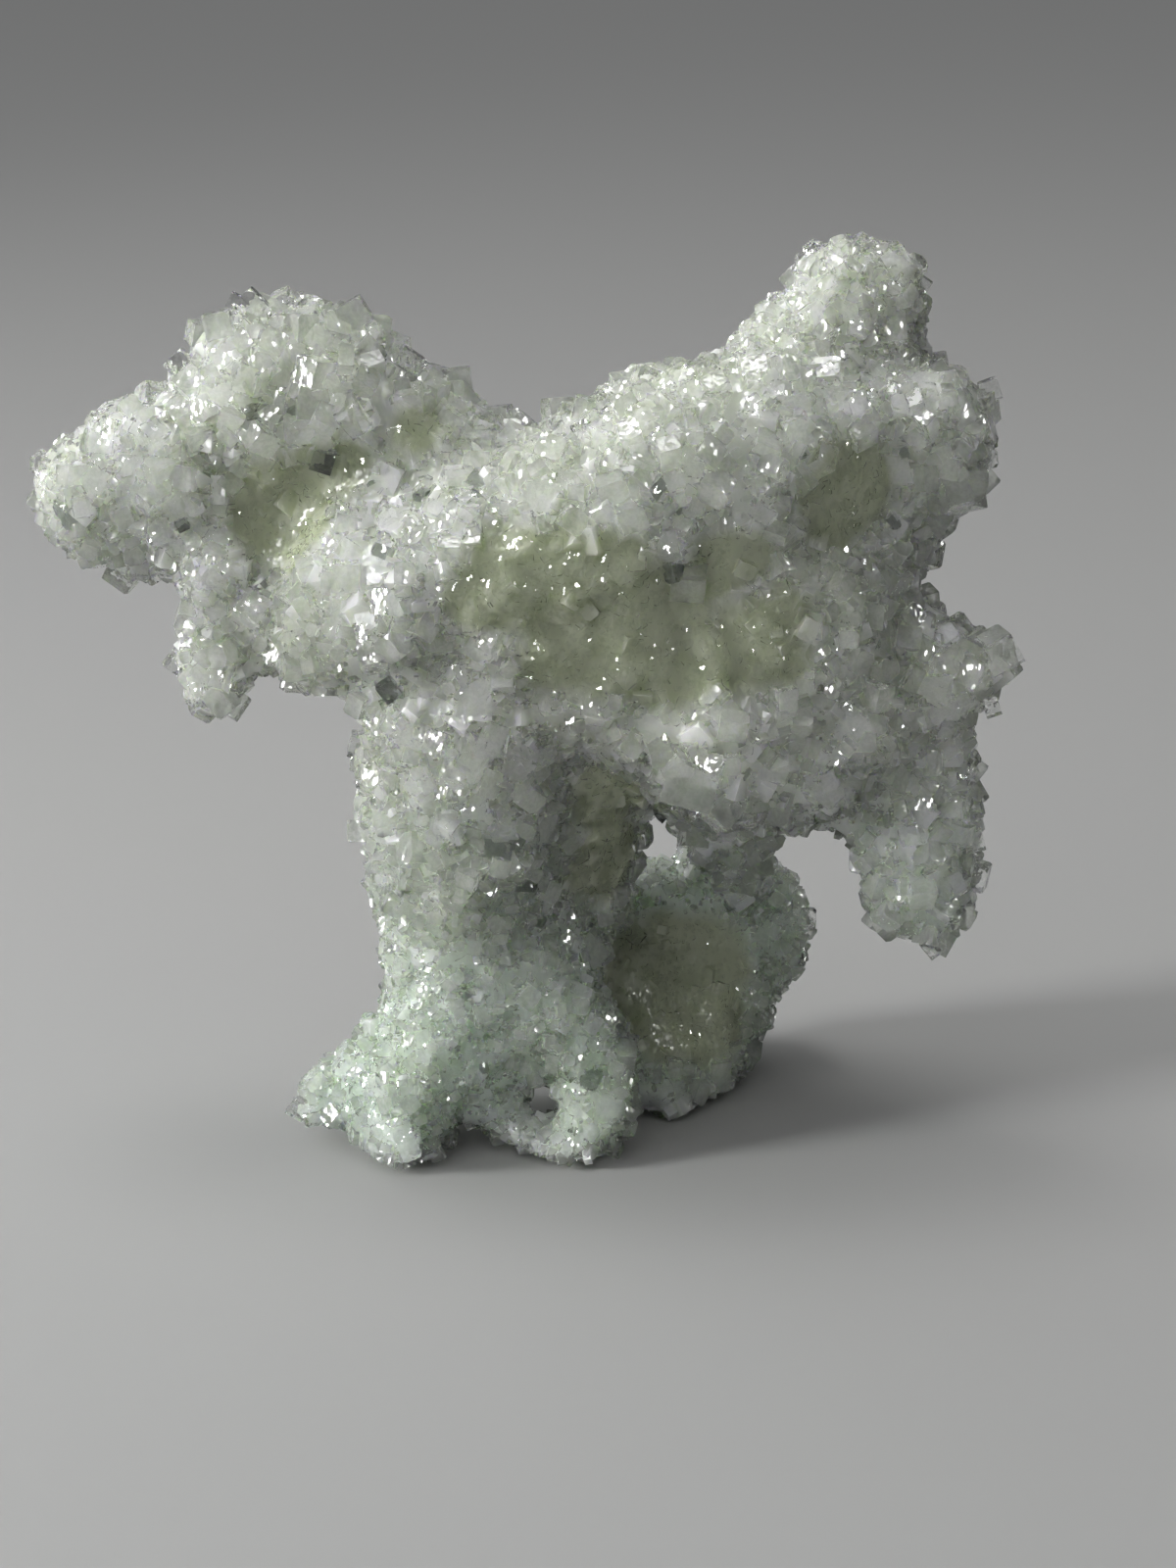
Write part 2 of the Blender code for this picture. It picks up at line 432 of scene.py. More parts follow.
def scatter(mesh, values, kind, rng):
    """Places, directions and widths of one kind of crystal on a skin."""
    places, directions, stand = skin_samples(mesh, values, kind["throws"], rng)
    bare = bareness(places)
    widths = kind["width"] * np.exp(kind["spread"] * rng.normal(size=len(places)))
    widths *= 1.0 + COARSER * nearness(places, COARSE_GROUND) - FINER * nearness(places, FINE_GROUND)
    widths = np.clip(widths, kind["least"], kind["most"])
    chance = (kind["base"] + kind["on_crest"] * stand) * (1.0 - kind["in_hollow"] * bare)
    grown = rng.random(len(places)) < np.clip(chance * patchiness(places), 0.0, 1.0)
    grown &= nearness(places, PIT_MOUTH) == 0.0
    order = np.argsort(-widths[grown], kind="stable")
    places, directions, widths = (part[grown][order] for part in (places, directions, widths))
    kept = spaced(places, widths, kind["closeness"])
    return places[kept], directions[kept], widths[kept]


def clear_of(places, others, widths):
    """Which places lie outside the crystals that already stand there."""
    tree = KDTree(len(others))
    for index, other in enumerate(others):
        tree.insert(other, index)
    tree.balance()
    nearest = [tree.find(place)[1:] for place in places]
    return np.array([gap > CLEARANCE * widths[index] * MM for index, gap in nearest])


rng = np.random.default_rng(SEED)
block_places, block_directions, block_widths = scatter(mass.data, crest, BLOCKS, rng)
sugar_places, sugar_directions, sugar_widths = scatter(mass.data, crest, SUGAR, rng)
free = clear_of(sugar_places, block_places, block_widths)
sugar_places = sugar_places[free]
sugar_directions = sugar_directions[free]
sugar_widths = sugar_widths[free]
print("blocks:", len(block_places), "sugar grains:", len(sugar_places))

# %% [markdown]
# ## One crystal
#
# The crust's blocks have square ends, sides a little longer than wide, and a small triangular
# facet where each outer corner is cut off. One template with unit corners serves them all: a
# cut corner's three points are the corner itself, moved back along one edge each. So a crystal's
# width, depth, height and cut are four numbers, and a whole crust is one array sum. A sugar
# grain is too small to show cut corners. It is a plain block, narrower at its outer end.

# %% The crystal templates
CORNERS = ((-1, -1), (1, -1), (1, 1), (-1, 1))


def block_template():
    """Corner signs, cut directions and faces of one block with cut outer corners."""
    signs = [(x, y, -1) for x, y in CORNERS]
    cuts = [(0, 0, 0)] * 4
    for x, y in CORNERS:
        signs += [(x, y, 1)] * 3
        cuts += [(-x, 0, 0), (0, -y, 0), (0, 0, -1)]
    # Outer corner 0 has the points x0, y0 and z0, each moved back along the edge it is named for.
    x0, y0, z0, x1, y1, z1, x2, y2, z2, x3, y3, z3 = range(4, 16)
    root = (3, 2, 1, 0)
    end = (y0, x0, x1, y1, y2, x2, x3, y3)
    facets = [(x0, y0, z0), (z1, y1, x1), (x2, y2, z2), (z3, y3, x3)]
    sides = [(0, 1, z1, x1, x0, z0), (1, 2, z2, y2, y1, z1), (2, 3, z3, x3, x2, z2), (3, 0, z0, y0, y3, z3)]
    return np.array(signs, float), np.array(cuts, float), [root, end] + facets + sides


def grain_template():
    """Corner signs, cut directions and faces of one grain that is narrower at its outer end."""
    signs = [(x, y, z) for z in (-1, 1) for x, y in CORNERS]
    cuts = [(0, 0, 0)] * 4 + [(-x, -y, 0) for x, y in CORNERS]
    root = (3, 2, 1, 0)
    end = (4, 5, 6, 7)
    sides = [(i, (i + 1) % 4, (i + 1) % 4 + 4, i + 4) for i in range(4)]
    return np.array(signs, float), np.array(cuts, float), [root, end] + sides


BLOCK = block_template()
GRAIN = grain_template()
# A crystal's number of points tells which template it was made from.
FACES = {len(signs): faces for signs, _, faces in (BLOCK, GRAIN)}


def crystal_points(shape, places, axes, halves, cut):
    """The corner points of every crystal of one shape, crystal by crystal."""
    signs, cuts, _ = shape
    local = signs[None] * halves[:, None, :] + cuts[None] * cut[:, None, None]
    return places[:, None, :] + np.einsum("nvi,nij->nvj", local, axes)


def joined(name, crystals, kinds):
    """All crystals of one piece as one mesh; a crystal's kind is its material's number."""
    faces, numbers = [], []
    first = 0
    for points, kind in zip(crystals, kinds):
        own = FACES[len(points)]
        faces += [tuple(first + v for v in face) for face in own]
        numbers += [kind] * len(own)
        first += len(points)
    mesh = bpy.data.meshes.new(name)
    mesh.from_pydata(np.concatenate(crystals).tolist(), [], faces)
    mesh.polygons.foreach_set("material_index", np.array(numbers, np.int32))
    return link(name, mesh)


print("points of a block and a grain:", *FACES)

# %% [markdown]
# Each crystal gets a frame of its own, its long axis leaning away from the skin's normal, and is
# sunk into the mass. A block stands out by a quarter to almost three quarters of its height, and
# by less on bare ground. A few are flat tablets. Those that would reach below the floor are
# lifted onto it.

# %% Growing crystals
TABLET_SHARE = 0.1
TABLET_DEPTHS = (0.4, 0.6)
BLOCK_DEPTHS = (0.75, 1.0)
LENGTHS = (1.0, 1.35)
CORNER_CUTS = (0.12, 0.55)
BLOCK_LEAN = 0.75
BLOCK_SHOWING = (0.25, 0.72)
SUGAR_SHOWING = (0.40, 0.80)
BARE_SINK = 0.5


def frames(directions, lean, rng):
    """A turned and tilted set of axes for each crystal, its long axis near its direction."""
    count = len(directions)
    leaning = directions + rng.normal(scale=lean, size=(count, 3))
    up = leaning / np.linalg.norm(leaning, axis=1)[:, None]
    side = np.cross(up, rng.normal(size=(count, 3)))
    side /= np.linalg.norm(side, axis=1)[:, None]
    return np.stack((side, np.cross(up, side), up), axis=1)


def grow(shape, places, directions, widths, showing, rng):
    """Corner points of a crystal at each place: blocks, and some flat tablets."""
    count = len(places)
    tablet = rng.random(count) < TABLET_SHARE
    depth = widths * np.where(tablet, rng.uniform(*TABLET_DEPTHS, count), rng.uniform(*BLOCK_DEPTHS, count))
    length = widths * rng.uniform(*LENGTHS, count)
    halves = np.stack((widths, depth, length), axis=1) / 2 * MM
    cut = halves.min(axis=1) * rng.uniform(*CORNER_CUTS, count)
    axes = frames(directions, BLOCK_LEAN, rng)
    shown = rng.uniform(*showing, count) * (1.0 - BARE_SINK * bareness(places))
    middles = places + directions * ((shown - 0.5) * length * MM)[:, None]
    points = crystal_points(shape, middles, axes, halves, cut)
    points[:, :, 2] += np.maximum(0.0, -points[:, :, 2].min(axis=1))[:, None]
    return list(points)


blocks = grow(BLOCK, block_places, block_directions, block_widths, BLOCK_SHOWING, rng)
sugar = grow(GRAIN, sugar_places, sugar_directions, sugar_widths, SUGAR_SHOWING, rng)
print("grown:", len(blocks), "blocks and", len(sugar), "grains")

# %% [markdown]
# ## The crystals everyone notices
#
# A few crystals are large or stand out on the outline. Each has its own row: the pixel where it
# is rooted in the skin, the pixel of its middle, its width, depth and height in millimetres, how
# far it is turned in the picture and tipped towards the viewer in degrees, and its kind. Their
# depth is guessed, since one photograph can't show it.

# %% Large crystals
# Kind 2 is painted dark reflection: dark grey glass standing in for crystals that show dark surroundings.
CLEAR, VEILED, PAINTED_DARK_REFLECTION = 0, 1, 2
LARGE_CRYSTALS = {
    "right_plate": ((990, 678), (1023, 669), (2.7, 0.8, 2.3), 30, 5, CLEAR),
    "right_blade": ((978, 668), (990, 658), (2.0, 0.8, 0.8), -30, 10, VEILED),
    "right_stub": ((985, 700), (1012, 722), (1.2, 0.9, 1.2), 20, 10, CLEAR),
    "ledge_left": ((705, 788), (703, 804), (4.0, 1.3, 3.2), -16, -22, VEILED),
    "ledge_right": ((755, 788), (758, 802), (4.4, 1.4, 3.0), 24, -18, VEILED),
    "ledge_chip": ((757, 812), (757, 827), (1.6, 0.7, 1.5), 16, -10, CLEAR),
    "ledge_end": ((783, 800), (784, 818), (1.7, 1.0, 2.0), -8, -10, CLEAR),
    "ledge_top_left": ((680, 742), (681, 740), (1.6, 1.2, 1.8), 12, 15, CLEAR),
    "ledge_top": ((748, 744), (748, 741), (2.2, 1.5, 1.9), -9, 20, VEILED),
    "ledge_top_right": ((783, 745), (783, 744), (1.5, 1.2, 1.5), 15, 10, CLEAR),
    "shoulder_plate": ((702, 600), (702, 597), (2.6, 1.5, 2.2), -5, 25, VEILED),
    "shoulder_blade": ((658, 474), (657, 472), (2.1, 0.7, 0.7), -22, 35, VEILED),
    "shoulder_block": ((625, 500), (625, 498), (2.2, 1.6, 1.9), 20, 20, VEILED),
    "hump_block": ((235, 345), (223, 331), (2.1, 1.5, 1.9), 12, 0, VEILED),
    "hump_corner": ((262, 330), (256, 311), (1.9, 1.5, 1.9), 43, 0, CLEAR),
    "hump_plate": ((245, 330), (238, 313), (1.1, 0.8, 2.0), -28, 0, CLEAR),
    "hump_right": ((355, 340), (361, 320), (2.2, 1.4, 2.0), 30, 0, VEILED),
    "hump_left": ((200, 385), (184, 372), (1.8, 1.3, 1.8), 42, 0, CLEAR),
    "hump_last": ((402, 375), (418, 368), (1.8, 1.2, 1.5), -35, 0, CLEAR),
    "hump_clear": ((240, 405), (229, 398), (1.6, 1.0, 2.4), -30, 20, CLEAR),
    "neck_block": ((468, 400), (470, 388), (1.7, 1.3, 1.9), 8, 0, VEILED),
    "saddle_left": ((570, 447), (565, 436), (1.7, 1.2, 1.6), 25, 0, CLEAR),
    "saddle_middle": ((600, 430), (596, 416), (1.6, 1.2, 1.6), -12, 0, VEILED),
    "saddle_right": ((615, 425), (612, 410), (1.3, 1.0, 1.4), 35, 0, CLEAR),
    # These five are painted dark reflection, dark grey squares in the crust.
    "painted_dark_reflection_hump": ((330, 470), (330, 469), (1.7, 1.2, 1.7), -18, 15, PAINTED_DARK_REFLECTION),
    "painted_dark_reflection_crest": ((397, 383), (397, 382), (1.5, 1.0, 1.5), 20, 10, PAINTED_DARK_REFLECTION),
    "painted_dark_reflection_front": ((257, 421), (257, 420), (0.9, 0.8, 1.0), 10, 15, PAINTED_DARK_REFLECTION),
    "painted_dark_reflection_wing": ((186, 535), (186, 535), (0.9, 0.8, 0.9), 25, 10, PAINTED_DARK_REFLECTION),
    "painted_dark_reflection_neck": ((400, 700), (397, 704), (1.4, 1.0, 1.6), 35, 10, PAINTED_DARK_REFLECTION),
    "arm_block": ((985, 860), (993, 857), (1.6, 1.2, 1.7), 15, 0, CLEAR),
    "arm_corner": ((955, 950), (952, 964), (1.6, 1.2, 1.6), 40, 0, CLEAR),
    "wing_block": ((1000, 405), (1010, 398), (1.5, 1.1, 1.6), 20, 0, CLEAR),
}
# How far in front of the skin a crystal's middle lies, in millimetres.
LARGE_FORWARD = 0.5
PAINTED_DARK_REFLECTION_FORWARD = 1.0
LARGE_CUT = 0.4


def grow_large(rows):
    """Corner points and kinds of the crystals that have a row of their own."""
    points, kinds = [], []
    for root, seen, size, turn, tip, kind in rows.values():
        forward = PAINTED_DARK_REFLECTION_FORWARD if kind == PAINTED_DARK_REFLECTION else LARGE_FORWARD
        distance = (where_seen(root) - CAMERA_PLACE).length - forward * MM
        middle = CAMERA_PLACE + sight_line(seen) * distance
        axes = Euler((math.radians(tip), math.radians(-turn), 0.0)).to_matrix().transposed()
        halves = np.array([size]) / 2 * MM
        cut = halves.min(axis=1) * LARGE_CUT
        points += list(crystal_points(BLOCK, np.array([middle]), np.array([axes]), halves, cut))
        kinds.append(kind)
    return points, np.array(kinds)


large, large_kinds = grow_large(LARGE_CRYSTALS)
print("large crystals:", len(large))

# %% [markdown]
# ## Fusing the crystals
#
# Real crystals that grew together share their insides: light crosses from one to the next
# without a surface. Overlapping glass blocks would refract it at every hidden face and turn
# black. So the blocks are united for good. They are sorted into sets whose members don't
# touch, which makes each set a clean closed mesh, and the sets are united one after another.
# Where two faces nearly coincide that can leave a shell too small to see, which is dropped.

# %% Fusing
def middles_and_reaches(points):
    """Each crystal's middle, and the radius of the ball around it that holds it."""
    middles = np.array([corners.mean(axis=0) for corners in points])
    reaches = [np.linalg.norm(corners - middle, axis=1).max() for corners, middle in zip(points, middles)]
    return middles, np.array(reaches)


def neighbours(points, touch):
    """For each crystal, the others whose balls come closer than touch times the radii's sum."""
    middles, reaches = middles_and_reaches(points)
    tree = KDTree(len(middles))
    for index, middle in enumerate(middles):
        tree.insert(middle, index)
    tree.balance()
    most = reaches.max()
    for index, middle in enumerate(middles):
        near = tree.find_range(middle, touch * (reaches[index] + most))
        yield [n for _, n, gap in near if n != index and gap < touch * (reaches[index] + reaches[n])]


def crystal_sets(points, kinds):
    """The crystals as a few closed meshes whose members don't touch."""
    numbers = np.full(len(points), -1)
    for index, near in enumerate(neighbours(points, 1.0)):
        taken = set(numbers[near])
        numbers[index] = next(number for number in range(len(near) + 1) if number not in taken)
    members = [np.flatnonzero(numbers == number) for number in range(numbers.max() + 1)]
    return [joined(f"set_{n}", [points[i] for i in own], kinds[own]) for n, own in enumerate(members)]


FEWEST_FACES = 6


def without_slivers(thing):
    """Drop the tiny shells that uniting leaves where two faces nearly coincide."""
    form = bmesh.new()
    form.from_mesh(thing.data)
    unseen = set(form.faces)
    slivers = []
    while unseen:
        front = [unseen.pop()]
        shell = []
        while front:
            face = front.pop()
            shell.append(face)
            near = {other for edge in face.edges for other in edge.link_faces} & unseen
            unseen -= near
            front += near
        if len(shell) < FEWEST_FACES:
            slivers += shell
    bmesh.ops.delete(form, geom=slivers, context="FACES")
    form.to_mesh(thing.data)
    form.free()


def united(whole, others):
    """Unite an object with others and remove them."""
    for other in others:
        step = whole.modifiers.new("step", "BOOLEAN")
        step.operation = "UNION"
        step.solver = "MANIFOLD"
        step.object = other
    without_slivers(settled(whole))
    for other in others:
        bpy.data.objects.remove(other)
    return whole


# %% [markdown]
# The crust is too fine for one mesh, so it is fused in six pieces, one for each limb. Where
# two limbs meet, a crystal of the later piece that would touch one of the earlier piece is left
# out. The gaps this leaves are narrower than a crystal, and lie in the folds between limbs.

# %% The crust's pieces
# Middles in millimetres. A crystal belongs to the limb whose middle is nearest to it.
LIMBS = {
    "crust_left_wing": (-25.0, 0.0, 53.0),
    "crust_body": (2.0, -2.0, 50.0),
    "crust_right_wing": (28.0, 0.0, 51.0),
    "crust_stalk": (0.0, -3.0, 26.0),
    "crust_feet": (-5.0, -8.0, 5.0),
    "crust_back_lobe": (16.0, 8.0, 10.0),
}
VEILED_SHARE = 0.64
# The share of dark grey crystals that are painted dark reflection.
PAINTED_DARK_REFLECTION_SHARE = 0.012
TOUCH = 0.75
CLEAR_ON_BARE = 0.3


def nearest_limb(points):
    """The number of the limb that each crystal belongs to."""
    homes = np.array(list(LIMBS.values())) * MM
    middles = middles_and_reaches(points)[0]
    return np.linalg.norm(middles[:, None] - homes[None], axis=2).argmin(axis=1)


def parted(points, limb):
    """Which crystals stay, when limbs that meet must not share a crystal's space."""
    keep = np.ones(len(points), bool)
    for index, near in enumerate(neighbours(points, TOUCH)):
        keep[index] = not any(keep[n] and limb[n] < limb[index] for n in near)
    return keep


def grow_crust(points, kinds):
    """The fused crust, one closed mesh for each limb."""
    limb = nearest_limb(points)
    keep = parted(points, limb)
    pieces = []
    for number, name in enumerate(LIMBS):
        chosen = np.flatnonzero(keep & (limb == number))
        first, *rest = crystal_sets([points[i] for i in chosen], kinds[chosen])
        first.name = name
        pieces.append(united(first, rest))
    return pieces


shares = (1.0 - VEILED_SHARE - PAINTED_DARK_REFLECTION_SHARE, VEILED_SHARE, PAINTED_DARK_REFLECTION_SHARE)
kinds = rng.choice((CLEAR, VEILED, PAINTED_DARK_REFLECTION), len(blocks) + len(sugar), p=shares)
kinds[bareness(middles_and_reaches(blocks + sugar)[0]) > CLEAR_ON_BARE] = CLEAR
crust = grow_crust(large + blocks + sugar, np.concatenate((large_kinds, kinds)))
for piece in crust:
    print(piece.name, triangles(piece), "triangles")

# %% [markdown]
# Lower down the crystals are drowned in the mass to their tips, and are as milky as it is.
# They are grown the same way, sunk deeper, and united with the mass.

# %% Drowned crystals
DROWNED = dict(width=1.3, spread=0.25, least=0.8, most=2.2, throws=3600, closeness=0.75,
               base=0.75, on_crest=-0.3, in_hollow=0.80)
DROWNED_SHOWING = (0.10, 0.30)


def drown(thing, values, rng):
    """Unite low, milky crystals with the mass."""
    places, directions, widths = scatter(thing.data, values, DROWNED, rng)
    points = grow(BLOCK, places, directions, widths, DROWNED_SHOWING, rng)
    return united(thing, crystal_sets(points, np.zeros(len(points), int)))


drown(mass, crest, rng)
print("mass:", triangles(mass), "triangles")

# %% [markdown]
# ## Materials
#
# A few helpers serve every material. One turns an sRGB hex colour into the linear numbers that
# the renderer works with, and one adds a node with its settings and links. Prehnite bends light
# by an index of 1.63, in the mass as in the clear crystals.

# %% Colour and node helpers
def linear(hex_colour):
    """An sRGB hex colour as linear red, green, blue and alpha."""
    parts = [int(hex_colour[i:i + 2], 16) / 255 for i in (1, 3, 5)]
    return tuple(c / 12.92 if c <= 0.04045 else ((c + 0.055) / 1.055) ** 2.4 for c in parts) + (1.0,)


def add(tree, kind, links=None, **settings):
    """A node with its settings; links joins its sockets to other nodes' outputs."""
    node = tree.nodes.new(kind)
    for key, value in settings.items():
        if key in node.inputs:
            node.inputs[key].default_value = value
        else:
            setattr(node, key, value)
    for key, source in (links or {}).items():
        tree.links.new(source, node.inputs[key])
    return node


def graded(tree, value, low, high):
    """A value's place between a low and a high end, from 0 to 1."""
    ramp = add(tree, "ShaderNodeMapRange", {"Value": value})
    ramp.inputs["From Min"].default_value = low
    ramp.inputs["From Max"].default_value = high
    return ramp.outputs["Result"]


def let_light_sink(shader, colour_depths, depth):
    """Scatter light under a surface, to a depth in millimetres and a share of it per colour."""
    shader.inputs["Subsurface Weight"].default_value = 1.0
    shader.inputs["Subsurface Radius"].default_value = colour_depths
    shader.inputs["Subsurface Scale"].default_value = depth * MM


def new_material(name):
    """An empty node material and its tree."""
    material = bpy.data.materials.new(name)
    material.use_nodes = True
    material.node_tree.nodes.clear()
    return material, material.node_tree


def give(thing, *materials):
    """Make materials the only ones on a piece."""
    while len(thing.data.materials) > len(materials):
        thing.data.materials.pop()
    while len(thing.data.materials) < len(materials):
        thing.data.materials.append(None)
    for index, material in enumerate(materials):
        thing.data.materials[index] = material


PREHNITE_IOR = 1.63

# The colour sockets of a mix node: its two inputs and its output.
COLOUR_A, COLOUR_B, MIXED = 6, 7, 2

# %% [markdown]
# No natural crystal face is one mirror. It grew as a mosaic of small patches that each lean a
# little their own way, so a lamp's reflection breaks into a cluster of white flecks. A cell
# pattern gives each patch one random colour, which is added to the face's direction. Real growth
# patches are a few hundredths of a millimetre wide, too fine to show. So they are drawn 0.21 mm
# wide and about twice as long, like the shortest streaks that the photograph shows.

# %% Mosaic faces
PATCH_SIZE = 0.21
PATCH_LENGTH = 2.2
PATCH_LEAN = 0.11
# In radians, so that the streaks run askew to the specimen's own axes.
STREAK_TURN = (0.3, 0.5, 0.2)


def mosaic(tree):
    """The direction of a face whose patches each lean a little."""
    place = add(tree, "ShaderNodeTexCoord")
    drawn = add(
        tree, "ShaderNodeMapping", {"Vector": place.outputs["Object"]},
        Rotation=STREAK_TURN, Scale=(1.0, 1.0, 1.0 / PATCH_LENGTH),
    )
    streaks = {"Vector": drawn.outputs["Vector"]}
    cells = add(tree, "ShaderNodeTexVoronoi", streaks, Scale=1 / (PATCH_SIZE * MM))
    lean = add(tree, "ShaderNodeVectorMath", {0: cells.outputs["Color"]}, operation="MULTIPLY_ADD")
    lean.inputs[1].default_value = (2 * PATCH_LEAN,) * 3
    lean.inputs[2].default_value = (-PATCH_LEAN,) * 3
    face = add(tree, "ShaderNodeNewGeometry")
    leaning = {0: face.outputs["Normal"], 1: lean.outputs["Vector"]}
    total = add(tree, "ShaderNodeVectorMath", leaning, operation="ADD")
    return add(tree, "ShaderNodeVectorMath", {0: total.outputs["Vector"]}, operation="NORMALIZE")


# %% [markdown]
# The mass is prehnite grown as one milky body: light sinks in a few millimetres and comes back
# pale, greener towards the feet. Where the mass is bare and deep it turns olive and darker: partly
# the bare mineral's own tint, partly painted shade in recesses, under the shoulder and on the
# stalk's shaded side. Subsurface scattering makes the light sink and come back, and costs far less
# than a fogged glass. How bare the ground is rides on the mesh itself, as a value at each point, so
# the olive painted shade follows the hollows. A soft noise, about 11 mm wide, keeps the olive from
# ending in a clean line. Crystals grown into each other have no free faces, so the mass is glossy
# but not mirror smooth.

# %% Massive prehnite
MINT = "#EBEDE9"
GREEN = "#E2EDE3"
# Olive for bare, deep ground: partly the mass's own tint, partly painted shade in recesses.
OLIVE_AND_SHADE = "#C6CCB2"
GREEN_FROM, GREEN_FULL = 34.0, 8.0
OLIVE_AND_SHADE_FROM, OLIVE_AND_SHADE_FULL = 0.40, 1.30
TINT_PATCH = 11.1
SINK_DEPTH = 3.0
MASS_COLOUR_DEPTHS = (1.0, 1.08, 0.85)
MASS_ROUGHNESS = 0.18


def mark_hollows(thing):
    """Write on each point of the mesh how bare the ground is."""
    mesh = thing.data
    # This value also places the olive painted shade of the mass.
    layer = mesh.attributes.new("hollow", "FLOAT", "POINT")
    layer.data.foreach_set("value", bareness(coordinates(mesh)).astype(np.float32))


def massive_prehnite():
    """Milky prehnite, grown as one body: light sinks in and comes back pale green, with olive painted shade
    in the hollows.
    """
    material, tree = new_material("massive_prehnite_milky")
    output = add(tree, "ShaderNodeOutputMaterial")
    hollow = add(tree, "ShaderNodeAttribute", attribute_name="hollow")
    place = add(tree, "ShaderNodeTexCoord").outputs["Object"]
    patches = add(tree, "ShaderNodeTexNoise", {"Vector": place}, Scale=1 / (TINT_PATCH * MM), Detail=3.0)
    both = {0: hollow.outputs["Fac"], 1: patches.outputs["Fac"]}
    # Where the olive painted shade falls: bareness, with a soft noise added.
    bare = add(tree, "ShaderNodeMath", both, operation="ADD")
    olive_and_shade = graded(tree, bare.outputs[0], OLIVE_AND_SHADE_FROM, OLIVE_AND_SHADE_FULL)
    height = add(tree, "ShaderNodeSeparateXYZ", {"Vector": place})
    low = graded(tree, height.outputs["Z"], GREEN_FROM * MM, GREEN_FULL * MM)
    body = add(tree, "ShaderNodeMix", {"Factor": low}, data_type="RGBA")
    body.inputs[COLOUR_A].default_value = linear(MINT)
    body.inputs[COLOUR_B].default_value = linear(GREEN)
    blend = add(tree, "ShaderNodeMix", {"Factor": olive_and_shade, COLOUR_A: body.outputs[MIXED]}, data_type="RGBA")
    blend.inputs[COLOUR_B].default_value = linear(OLIVE_AND_SHADE)
    shader = add(
        tree, "ShaderNodeBsdfPrincipled",
        {"Base Color": blend.outputs[MIXED], "Normal": mosaic(tree).outputs["Vector"]},
        Roughness=MASS_ROUGHNESS, IOR=PREHNITE_IOR,
    )
    let_light_sink(shader, MASS_COLOUR_DEPTHS, SINK_DEPTH)
    tree.links.new(shader.outputs["BSDF"], output.inputs["Surface"])
    return material


mark_hollows(mass)
give(mass, massive_prehnite())
print("mass made of:", mass.data.materials[0].name)

# %% [markdown]
# The crust's crystals are the same mineral without the milk. Some are water clear, more are
# veiled by fine inclusions that send part of the light back white, and a few are dark grey glass,
# painted dark reflection that shows as dark grey squares. All have the glossy faces they grew
# with: the clear and dark grey ones are mirror smooth, and the veiled ones a little duller. Glass
# with some scattering makes the veils, because a fog inside each crystal would take too long to
# render. A veil is about half a millimetre wide.

# %% Clear, veiled and smoky crystals
VEIL_SIZE = 0.5
VEIL_FROM, VEIL_FULL = 0.38, 0.62
VEIL_DEPTH = 1.2
VEIL_COLOUR_DEPTHS = (1.0, 1.05, 0.95)
# The colours of thin and thick veils, how much light passes, and the roughness, for each kind
# in the order of its number.
CRYSTAL_KINDS = {
    "prehnite_crystal_clear": ("#FFFFFF", "#E4E6E2", 1.0, 0.0),
    "prehnite_crystal_veiled": ("#F8FAF5", "#DADED6", 0.86, 0.03),
    # The last kind is dark grey glass as painted dark reflection.
    "prehnite_crystal_painted_dark_reflection": ("#909490", "#7A7F7B", 1.0, 0.0),
}


def crystal(name, thin, thick, transmission, roughness):
    """Prehnite blocks with glossy natural faces, and veils between a thin and a thick colour."""
    material, tree = new_material(name)
    output = add(tree, "ShaderNodeOutputMaterial")
    place = add(tree, "ShaderNodeTexCoord")
    veils = add(
        tree, "ShaderNodeTexNoise", {"Vector": place.outputs["Object"]},
        Scale=1 / (VEIL_SIZE * MM), Detail=3.0, Distortion=1.5,
    )
    thickness = graded(tree, veils.outputs["Fac"], VEIL_FROM, VEIL_FULL)
    blend = add(tree, "ShaderNodeMix", {"Factor": thickness}, data_type="RGBA")
    blend.inputs[COLOUR_A].default_value = linear(thin)
    blend.inputs[COLOUR_B].default_value = linear(thick)
    shader = add(
        tree, "ShaderNodeBsdfPrincipled",
        {"Base Color": blend.outputs[MIXED], "Normal": mosaic(tree).outputs["Vector"]},
        Roughness=roughness, IOR=PREHNITE_IOR,
    )
    shader.inputs["Transmission Weight"].default_value = transmission
    if transmission < 1.0:
        let_light_sink(shader, VEIL_COLOUR_DEPTHS, VEIL_DEPTH)
    tree.links.new(shader.outputs["BSDF"], output.inputs["Surface"])
    return material


crust_materials = [crystal(name, *look) for name, look in CRYSTAL_KINDS.items()]
for piece in crust:
    give(piece, *crust_materials)
print("crust made of:", *(material.name for material in crust_materials))

# %% [markdown]
# ## Floor and light
#
# The floor is one plain, pale, matt plane. It is wide, so that its edge lies far behind the
# specimen, above it in the picture or out of it.

# %% Floor
FLOOR_SIZE = 12.0
FLOOR_COLOUR = "#BBBBB9"
FLOOR_ROUGHNESS = 0.8


def add_floor():
    """A plain pale floor under the specimen."""
    half = FLOOR_SIZE / 2
    corners = [(-half, -half, 0), (half, -half, 0), (half, half, 0), (-half, half, 0)]
    mesh = bpy.data.meshes.new("floor")
    mesh.from_pydata(corners, [], [(0, 1, 2, 3)])
    floor = link("floor", mesh)
    material, tree = new_material("floor_matt")
    output = add(tree, "ShaderNodeOutputMaterial")
    shader = add(tree, "ShaderNodeBsdfPrincipled", Roughness=FLOOR_ROUGHNESS)
    shader.inputs["Base Color"].default_value = linear(FLOOR_COLOUR)
    tree.links.new(shader.outputs["BSDF"], output.inputs["Surface"])
    give(floor, material)
    return floor


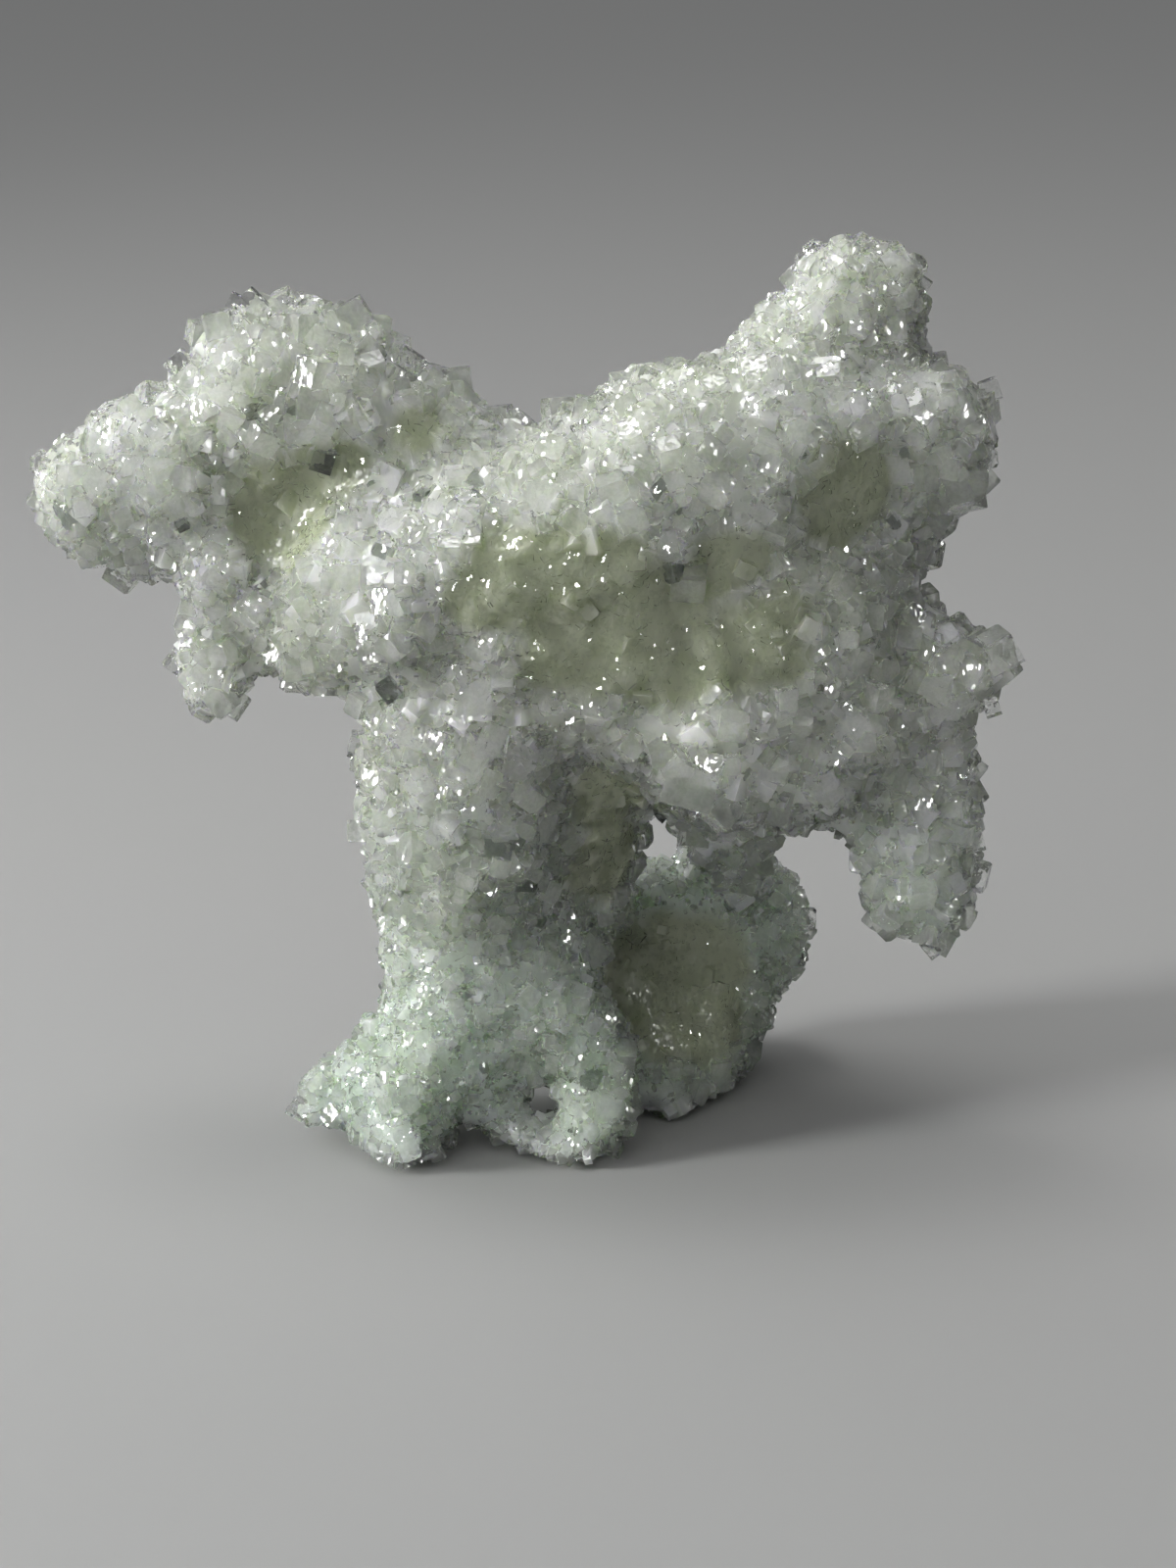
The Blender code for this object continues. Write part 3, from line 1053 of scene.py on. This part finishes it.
floor = add_floor()
print("floor, m:", [round(size, 1) for size in floor.dimensions])

# %% [markdown]
# The photograph's light comes from the left and from low down, so the left wing and feet are
# bright and the right arm lies in shade. A soft lamp on that side gives it. Its beam is narrowed,
# so that the floor beside the lamp isn't far brighter than the specimen. A second lamp overhead
# opens the hollows.

# %% Soft lamps
# Places and sizes in metres, power in watts.
SIDE_LAMP = dict(place=(-0.60, -0.16, 0.19), size=0.14, power=0.86)
SIDE_LAMP_BEAM = math.radians(90)
OVERHEAD_LAMP = dict(place=(-0.10, 0.10, 0.65), size=0.20, power=0.85)
SPECIMEN_MIDDLE = Vector((0.0, 0.0, 0.04))


def add_softbox(name, place, size, power):
    """An area light at a place, turned to the specimen's middle."""
    data = bpy.data.lights.new(name, "AREA")
    data.size = size
    data.energy = power
    lamp = bpy.data.objects.new(name, data)
    lamp.location = place
    aim = SPECIMEN_MIDDLE - Vector(place)
    lamp.rotation_euler = aim.to_track_quat("-Z", "Y").to_euler()
    lamp.visible_camera = False
    bpy.context.scene.collection.objects.link(lamp)
    return lamp


side_lamp = add_softbox("side", **SIDE_LAMP)
side_lamp.data.spread = SIDE_LAMP_BEAM
overhead_lamp = add_softbox("overhead", **OVERHEAD_LAMP)
print("soft lamps:", side_lamp.name, overhead_lamp.name)

# %% [markdown]
# A glint is a small lamp seen in a flat face. One large lamp would turn whole facets white, so
# the glints come from many small ones, scattered at random on the lit side, with a few on the
# other. They light only what shines or is seen through a crystal, and hardly touch the floor.

# %% Small lamps for the glints
# How many lamps, from and to which heading and height in degrees, and each one's size and power.
GLINT_LAMPS = {
    "glint_left": (30, (-230, -100), (10, 75), 0.045, 0.25),
    "glint_right": (8, (-60, 20), (25, 75), 0.04, 0.08),
}
GLINT_DISTANCE = 0.6


def add_glint_lamps():
    """Small lamps that show only in gloss and through crystals, and make the faces glint."""
    rng = np.random.default_rng(SEED)
    for name, (count, headings, heights, size, power) in GLINT_LAMPS.items():
        for number in range(count):
            turn = math.radians(rng.uniform(*headings))
            rise = math.radians(rng.uniform(*heights))
            flat = math.cos(rise)
            towards = Vector((flat * math.cos(turn), flat * math.sin(turn), math.sin(rise)))
            lamp = add_softbox(f"{name}_{number}", towards * GLINT_DISTANCE, size, power)
            lamp.visible_diffuse = False


add_glint_lamps()
print("small lamps:", sum(row[0] for row in GLINT_LAMPS.values()))

# %% [markdown]
# Last comes the light that arrives from everywhere. It is bright above and to the left and nearly
# dark towards the right, which gives each clear crystal a light and a dark side to refract.

# %% The air around
AIR_BRIGHT_SIDE = Vector((-0.65, 0.0, 0.70)).normalized()
AIR_DARK_FROM = -0.3
AIR_STRENGTHS = (0.04, 0.46)
AIR_COLOUR = (0.97, 0.98, 1.0, 1.0)


def add_air():
    """Surroundings that are bright above and to the left, and dark towards the right."""
    world = bpy.data.worlds.new("air")
    world.use_nodes = True
    tree = world.node_tree
    place = add(tree, "ShaderNodeTexCoord")
    towards = add(tree, "ShaderNodeVectorMath", {0: place.outputs["Generated"]}, operation="DOT_PRODUCT")
    towards.inputs[1].default_value = AIR_BRIGHT_SIDE
    heading = {"Value": towards.outputs["Value"]}
    ramp = add(tree, "ShaderNodeMapRange", heading, interpolation_type="SMOOTHSTEP")
    ramp.inputs["From Min"].default_value = AIR_DARK_FROM
    ramp.inputs["To Min"].default_value = AIR_STRENGTHS[0]
    ramp.inputs["To Max"].default_value = AIR_STRENGTHS[1]
    background = tree.nodes["Background"]
    tree.links.new(ramp.outputs["Result"], background.inputs["Strength"])
    background.inputs["Color"].default_value = AIR_COLOUR
    bpy.context.scene.world = world
    return world


world = add_air()
bpy.context.scene.view_settings.view_transform = "Standard"
print("surroundings:", world.name, "strengths:", AIR_STRENGTHS)

# %% [markdown]
# ## Putting the pieces on the body
#
# Every piece rides on the one body, stands in for the imported solid and is made of prehnite.

# %% What rides on what
for piece in (mass, *crust):
    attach(piece, "root")
    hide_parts("prehnite_cluster")
